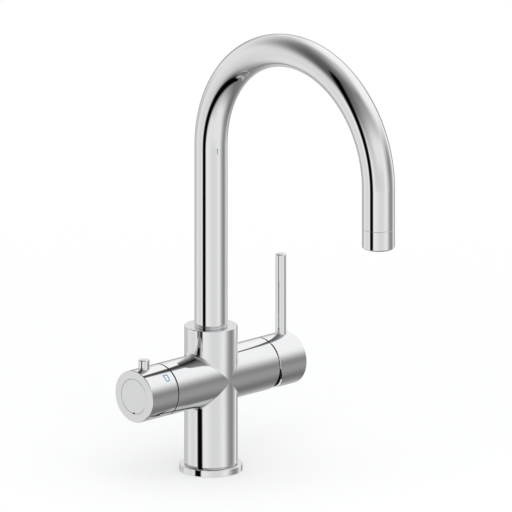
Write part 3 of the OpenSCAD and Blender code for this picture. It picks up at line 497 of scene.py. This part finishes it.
# Plastic, rubber and ceramic: cloudy tone, grain in the gloss and in the surface
moulded = {
    "cloudScale": 90.0,
    "cloudSpan": (0.35, 0.7),
    "bumpDepth": 0.00004,
    "specular": 0.5,
    "looks": {
        "blackRubber": {
            "tones": ((0.018, 0.018, 0.019), (0.034, 0.034, 0.035)),
            "roughness": (0.5, 0.72),
            "grain": 1500.0,
            "bump": 0.5,
            "specular": 0.35,
            "nodes": [
                "base_gasket", "nipple_seal", "spout_seals", "aerator_seal",
                "cartridge_seals", "valve_seat_seal", "valve_flange_seal", "spindle_seal",
            ],
        },
        "lappedCeramic": {
            "tones": ((0.88, 0.87, 0.83), (0.94, 0.93, 0.90)),
            "roughness": (0.16, 0.28),
            "grain": 2600.0,
            "bump": 0.12,
            "nodes": ["mixer_fixed_disc", "mixer_moving_disc", "valve_fixed_disc", "valve_moving_disc"],
        },
        "darkPlastic": {
            "tones": ((0.020, 0.022, 0.025), (0.032, 0.034, 0.037)),
            "roughness": (0.36, 0.5),
            "grain": 1800.0,
            "bump": 0.35,
            "nodes": ["cartridge_base", "cartridge_housing", "cartridge_rotor"],
        },
        "greyPlastic": {
            "tones": ((0.43, 0.44, 0.45), (0.50, 0.51, 0.52)),
            "roughness": (0.32, 0.46),
            "grain": 1700.0,
            "bump": 0.3,
            "nodes": ["aerator_insert", "filtered_nozzle", "lever_plug"],
        },
        "whitePlastic": {
            "tones": ((0.84, 0.84, 0.81), (0.90, 0.90, 0.88)),
            "roughness": (0.3, 0.44),
            "grain": 1600.0,
            "bump": 0.3,
            "nodes": ["disc_carrier"],
        },
        "drinkingWaterTube": {
            "tones": ((0.80, 0.82, 0.82), (0.88, 0.90, 0.90)),
            "roughness": (0.22, 0.34),
            "grain": 900.0,
            "bump": 0.2,
            "nodes": ["filtered_tube"],
        },
    },
}


def makeMoulded(name, look):
    material, tree, shader, place = startMaterial(name)
    deep, pale = look["tones"]
    cloud = mapRange(tree, noiseOf(tree, place, moulded["cloudScale"]), moulded["cloudSpan"])
    tree.links.new(blendColour(tree, cloud, (*deep, 1), (*pale, 1)), shader.inputs["Base Color"])
    fine = noiseOf(tree, place, look["grain"])
    tree.links.new(mapRange(tree, fine, noise["span"], look["roughness"]), shader.inputs["Roughness"])
    shader.inputs["Specular IOR Level"].default_value = look.get("specular", moulded["specular"])
    addBump(tree, shader, fine, look["bump"], moulded["bumpDepth"])
    return material


def dressNodes():
    plate = makeChrome()
    finishes = {}
    for name, look in moulded["looks"].items():
        finishes.update(dict.fromkeys(look["nodes"], makeMoulded(name, look)))
    for name, (metal, axis, centre, dressed) in turned["pieces"].items():
        finishes.update(dict.fromkeys(dressed, makeTurned(name, metal, axis, centre)))
    for name, zones in plated["zones"].items():
        finishes[name] = makePlated(name + "Plate", zones)
    for name, node in nodes.items():
        for holder in node.material_slots:
            holder.material = finishes.get(name, plate)
    return len(nodes)


print("finishes on", dressNodes(), "nodes")

# Fillets in the four corners between arms and column. A ball that rolls along a corner touches both
# cylinders, so the fillet is widest at the arms' crests and runs out at the front and the back
fillet = {
    "radius": 0.0030,
    "sunk": 0.00003,
    "reach": 87.5,
    "steps": 72,
    "arcSteps": 12,
    "thickness": 0.0003,
    "smoothBelow": 40,
    "corners": [(-1, 1), (1, 1), (-1, -1), (1, -1)],
}


def makeFillet(name, sideX, sideZ):
    deselectAll()
    bpy.ops.mesh.primitive_grid_add(
        x_subdivisions=fillet["steps"], y_subdivisions=fillet["arcSteps"], size=2.0, location=(0, 0, 0))
    piece = bpy.context.object
    piece.name = name
    track = tap["armR"] - fillet["sunk"] + fillet["radius"]
    for point in piece.data.vertices:
        angle = math.radians(fillet["reach"] * point.co.x)
        across, along = math.cos(angle), math.sin(angle)
        toColumn, toArm = Vector((-across, -along, 0)), Vector((0, -along, -across))
        out = toColumn.slerp(toArm, (point.co.y + 1) / 2)
        place = Vector((track * across, track * along, track * across)) + out * fillet["radius"]
        point.co = (sideX * place.x, place.y, tap["armZ"] + sideZ * place.z)
    if sideX * sideZ > 0:
        bpy.ops.object.mode_set(mode="EDIT")
        bpy.ops.mesh.select_all(action="SELECT")
        bpy.ops.mesh.flip_normals()
        bpy.ops.object.mode_set(mode="OBJECT")
    thicken(piece, fillet["thickness"], -1.0)
    turnOutwards()
    bpy.ops.object.shade_smooth_by_angle(angle=math.radians(fillet["smoothBelow"]))
    piece.data.materials.append(bpy.data.materials["polishedChrome"])
    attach(piece, "tap_body")


for count, (sideX, sideZ) in enumerate(fillet["corners"]):
    makeFillet("armFillet%d" % (count + 1), sideX, sideZ)
print("fillets made between arms and column")

# generic outline of a drinking glass, printed on the knob's skin. "along" is the place on the
# arm's axis, "turn" the angle from the top towards the front
tumbler = {
    "along": -0.06940,
    "turn": 47.6,
    "rimWidth": 0.0055,
    "baseWidth": 0.0044,
    "height": 0.0066,
    "stroke": 0.00088,
    "corner": 0.0011,
    "cornerSteps": 5,
    "cuts": 5,
    "lift": 0.00004,
    "thickness": 0.00005,
    "ink": {
        "tones": ((0.085, 0.235, 0.47), (0.0918, 0.2538, 0.5076)),
        "roughness": (0.3, 0.42),
        "grain": 2400.0,
        "bump": 0.15,
    },
}


def makeTumbler():
    deselectAll()
    bpy.ops.mesh.primitive_plane_add(size=1.0, location=(0, 0, 0))
    sign = bpy.context.object
    sign.name = "tumblerSign"
    mesh = sign.data
    halfHeight = tumbler["height"] / 2
    for point in mesh.vertices:
        wide = tumbler["rimWidth"] if point.co.y > 0 else tumbler["baseWidth"]
        point.co = (math.copysign(wide / 2, point.co.x), math.copysign(halfHeight, point.co.y), 0)
    bpy.ops.object.mode_set(mode="EDIT")
    bpy.ops.mesh.select_all(action="DESELECT")
    bpy.ops.object.mode_set(mode="OBJECT")
    for point in mesh.vertices:
        point.select = point.co.y < 0
    bpy.ops.object.mode_set(mode="EDIT")
    bpy.ops.mesh.select_mode(type="VERT")
    bpy.ops.mesh.bevel(offset=tumbler["corner"], segments=tumbler["cornerSteps"], affect="VERTICES")
    bpy.ops.mesh.select_all(action="SELECT")
    bpy.ops.mesh.inset(thickness=tumbler["stroke"], depth=0)
    bpy.ops.mesh.delete(type="FACE")
    bpy.ops.mesh.select_all(action="SELECT")
    bpy.ops.mesh.subdivide(number_cuts=tumbler["cuts"])
    bpy.ops.object.mode_set(mode="OBJECT")
    r = tap["armR"] + tumbler["lift"]
    turn = math.radians(tumbler["turn"])
    for point in mesh.vertices:
        angle = turn - point.co.y / r
        point.co = (tumbler["along"] + point.co.x, -r * math.sin(angle), tap["armZ"] + r * math.cos(angle))
    thicken(sign, tumbler["thickness"], 1.0)
    turnOutwards()
    mesh.materials.append(makeMoulded("filterBlueInk", tumbler["ink"]))
    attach(sign, "filter_control")


makeTumbler()
print("tumbler sign made")

# Threads cut in the underside: three water inlets and two stud holes. "places" are the distance
# from the column's axis and the angle from the lever's side
threads = {
    "inletThread": {
        "places": [(0.0135, 36), (0.0135, -36), (0.0135, 180)],
        "bore": 0.0045,
        "pitch": 0.0010,
        "turns": 11,
    },
    "studThread": {
        "places": [(0.0135, 108), (0.0135, -108)],
        "bore": 0.0034,
        "pitch": 0.00125,
        "turns": 13,
    },
}

# One tooth: how far its crest stands inside the bore and its root outside, half its foot in
# pitches, and where the first turn starts
tooth = {
    "crest": 0.00026,
    "root": 0.00012,
    "halfFoot": 0.42,
    "start": 0.0004,
    "steps": 36,
    "merge": 0.000001,
}


def makeThread(name, plan):
    deselectAll()
    bpy.ops.mesh.primitive_circle_add(
        vertices=3, radius=plan["pitch"], fill_type="NOTHING", location=(0, 0, 0))
    piece = bpy.context.object
    piece.name = name
    crest, root = plan["bore"] - tooth["crest"], plan["bore"] + tooth["root"]
    halfFoot = tooth["halfFoot"] * plan["pitch"]
    corners = [(crest, 0), (root, halfFoot), (root, -halfFoot)]
    for point, (out, up) in zip(piece.data.vertices, corners):
        point.co = (out, 0, up)
    coil = piece.modifiers.new("coil", "SCREW")
    coil.axis = "Z"
    coil.angle = math.radians(360)
    coil.screw_offset = plan["pitch"]
    coil.iterations = plan["turns"]
    coil.steps = tooth["steps"]
    coil.render_steps = tooth["steps"]
    coil.use_merge_vertices = False
    coil.use_smooth_shade = False
    bpy.ops.object.modifier_apply(modifier="coil")
    bpy.ops.object.mode_set(mode="EDIT")
    bpy.ops.mesh.select_all(action="SELECT")
    bpy.ops.mesh.remove_doubles(threshold=tooth["merge"])
    bpy.ops.mesh.select_all(action="DESELECT")
    bpy.ops.mesh.select_mode(type="EDGE")
    bpy.ops.mesh.select_non_manifold()
    bpy.ops.mesh.edge_face_add()
    turnOutwards()
    return piece


def copyOf(piece, name):
    twin = piece.copy()
    twin.data = piece.data.copy()
    twin.name = name
    piece.users_collection[0].objects.link(twin)
    return twin


def cutThreads(kind):
    plan = threads[kind]
    names = ["%s%d" % (kind, count + 1) for count in range(len(plan["places"]))]
    first = makeThread(names[0], plan)
    first.data.materials.append(makeTurned(kind + "Brass", "brass", "Z", "column"))
    pieces = [first] + [copyOf(first, name) for name in names[1:]]
    for piece, (out, angle) in zip(pieces, plan["places"]):
        turn = math.radians(angle)
        middle = Vector((out * math.cos(turn), out * math.sin(turn), tooth["start"] + plan["pitch"] / 2))
        for point in piece.data.vertices:
            point.co += middle
        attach(piece, "tap_body")
    return len(pieces)


print("threads cut in", sum([cutThreads(kind) for kind in threads]), "holes")
